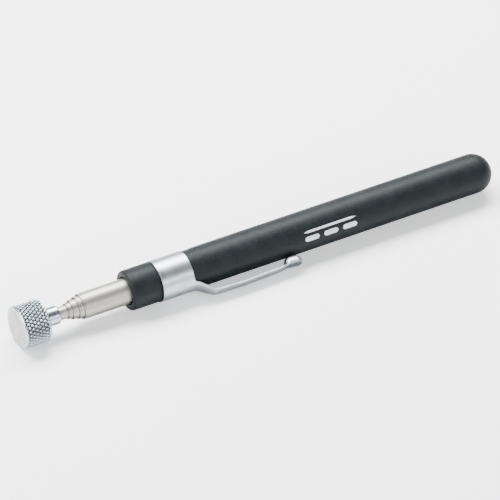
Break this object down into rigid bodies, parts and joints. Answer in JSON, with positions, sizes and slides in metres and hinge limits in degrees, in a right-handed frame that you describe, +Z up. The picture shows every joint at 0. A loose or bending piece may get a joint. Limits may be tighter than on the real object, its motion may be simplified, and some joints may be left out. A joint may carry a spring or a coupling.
{
  "type": "magnetic pickup tool",
  "caption": "Pen-shaped telescoping pickup tool with a knurled magnet head, nested sliding tubes, a black sleeve handle and a steel pocket clip.",
  "frame": {"origin": "centre of the magnet's working face", "axes": "+X along the tool's axis from the magnet to the handle's closed end, +Z up as it lies on a table, the pocket clip on the -Y side and 25 degrees below level"},
  "size_m": [0.162, 0.0164, 0.0132],
  "materials": {
    "magnet": "nickel-plated magnet, finely ground matt face",
    "plated_steel": "zinc-plated steel",
    "head_plating": "bright nickel-plated steel with a diamond knurl",
    "tube_plating": "nickel-plated brass tube, drawn and polished",
    "brass": "turned brass",
    "spring_bronze": "phosphor bronze strip",
    "sleeve_vinyl": "matt black soft vinyl with a fine grain",
    "clip_steel": "polished stainless spring steel, brushed round the band",
    "print_ink": "pale printed ink"
  },
  "bodies": {
    "handle": {"outer_tube": "tube_plating", "tube_end_plug": "brass", "grip_sleeve": "sleeve_vinyl", "pocket_clip": "clip_steel"},
    "section_4": {"section_tube_4": "tube_plating", "stop_bush_4": "brass", "friction_spring_4": "spring_bronze"},
    "section_3": {"section_tube_3": "tube_plating", "stop_bush_3": "brass", "friction_spring_3": "spring_bronze"},
    "section_2": {"section_tube_2": "tube_plating", "stop_bush_2": "brass", "friction_spring_2": "spring_bronze"},
    "section_1_spring": {"friction_spring_1": "spring_bronze"},
    "head": {"section_tube_1": "tube_plating", "stop_bush_1": "brass", "head_stud": "plated_steel", "magnet_housing": "head_plating", "magnet_disc": "magnet", "backing_plate": "plated_steel"}
  },
  "joints": [
    {"name": "section_4_slide", "type": "slide", "parent": "handle", "child": "section_4", "axis": [-1, 0, 0], "range_m": [0, 0.12]},
    {"name": "section_3_slide", "type": "slide", "parent": "section_4", "child": "section_3", "axis": [-1, 0, 0], "range_m": [0, 0.1215]},
    {"name": "section_2_slide", "type": "slide", "parent": "section_3", "child": "section_2", "axis": [-1, 0, 0], "range_m": [0, 0.123]},
    {"name": "section_1_slide", "type": "slide", "parent": "section_2", "child": "section_1_spring", "axis": [-1, 0, 0], "range_m": [0, 0.1245]},
    {"name": "head_turn", "type": "hinge", "parent": "section_1_spring", "child": "head", "pos_m": [0, 0, 0], "axis": [-1, 0, 0], "continuous": true}
  ]
}
